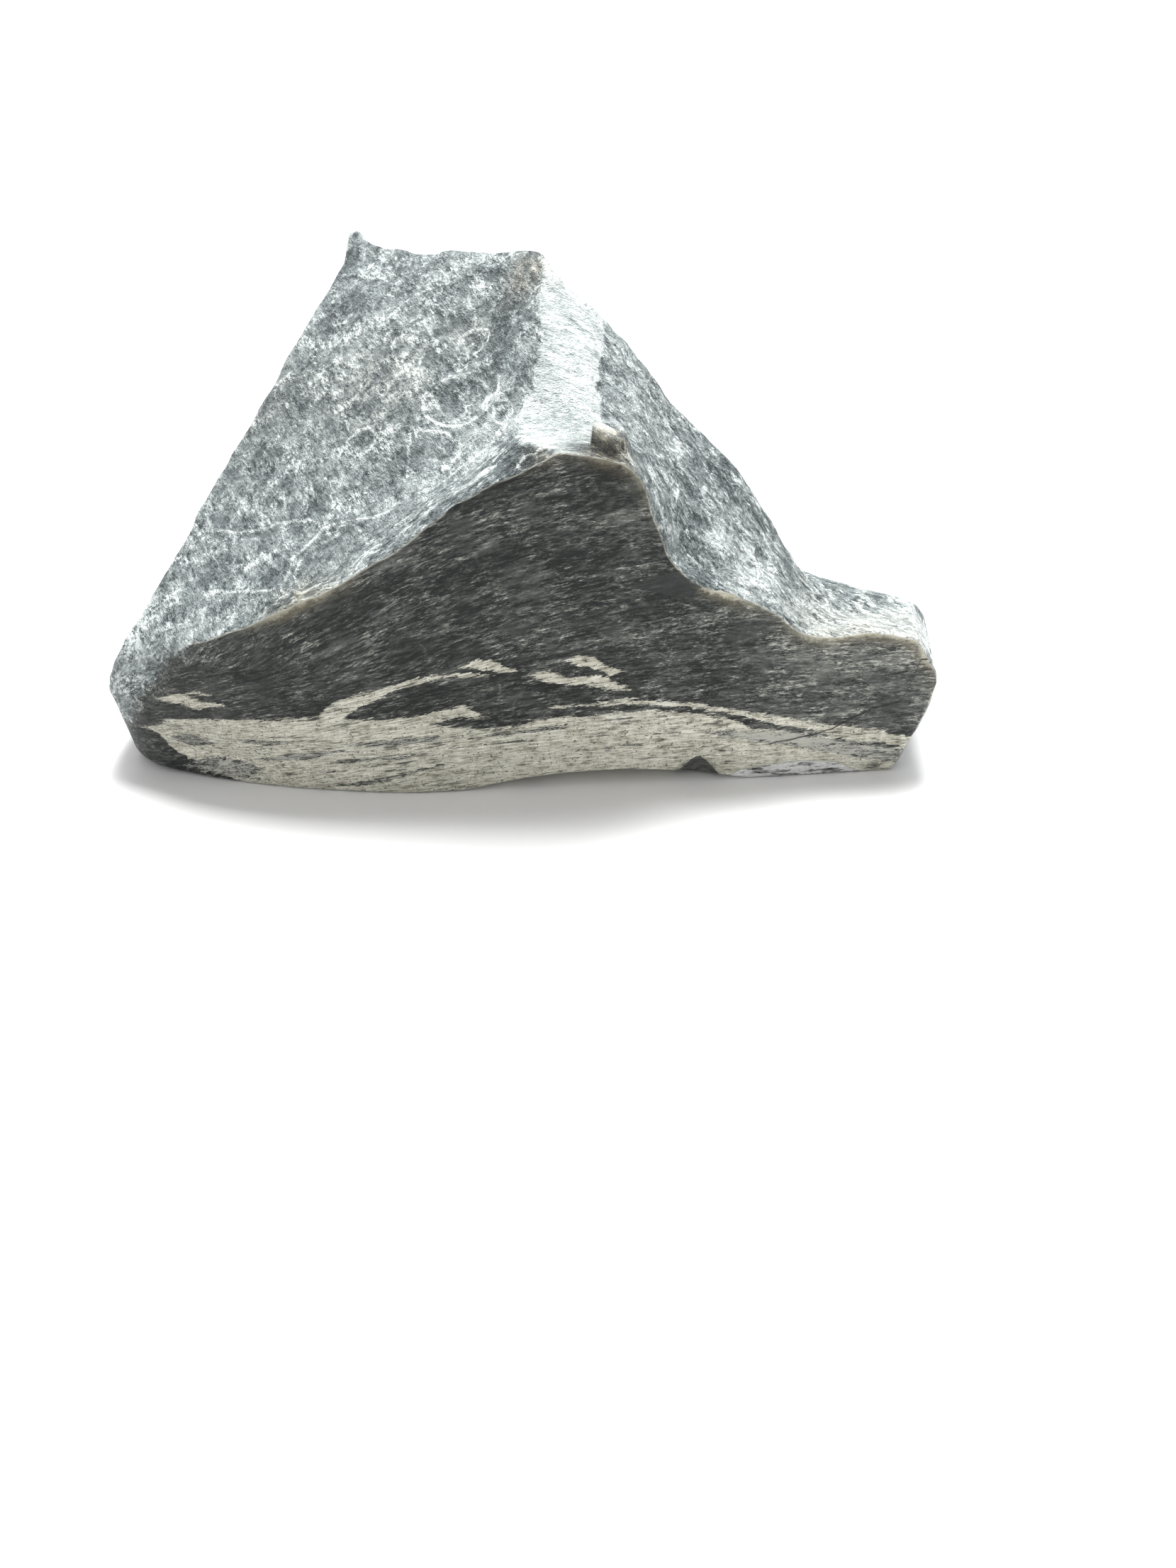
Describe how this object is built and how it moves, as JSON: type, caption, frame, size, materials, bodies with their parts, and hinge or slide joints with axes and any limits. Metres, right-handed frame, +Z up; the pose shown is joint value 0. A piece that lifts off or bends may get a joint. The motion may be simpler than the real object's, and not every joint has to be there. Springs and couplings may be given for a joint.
{
  "type": "alabaster rock",
  "caption": "Broken block of grey and white banded alabaster with a steep split front, a peaked back ridge, a low shelf at one end and a flat bed to rest on",
  "frame": {"origin": "centre of the block's bounding box on the plane it rests on", "axes": "+X to the right along the split front face, +Y to the back away from it, +Z up from the bed"},
  "size_m": [0.3607, 0.2402, 0.1987],
  "materials": {
    "alabaster": "rough broken stone, faintly glassy grains"
  },
  "bodies": {
    "root": {"alabaster_rock": "alabaster"}
  },
  "joints": []
}
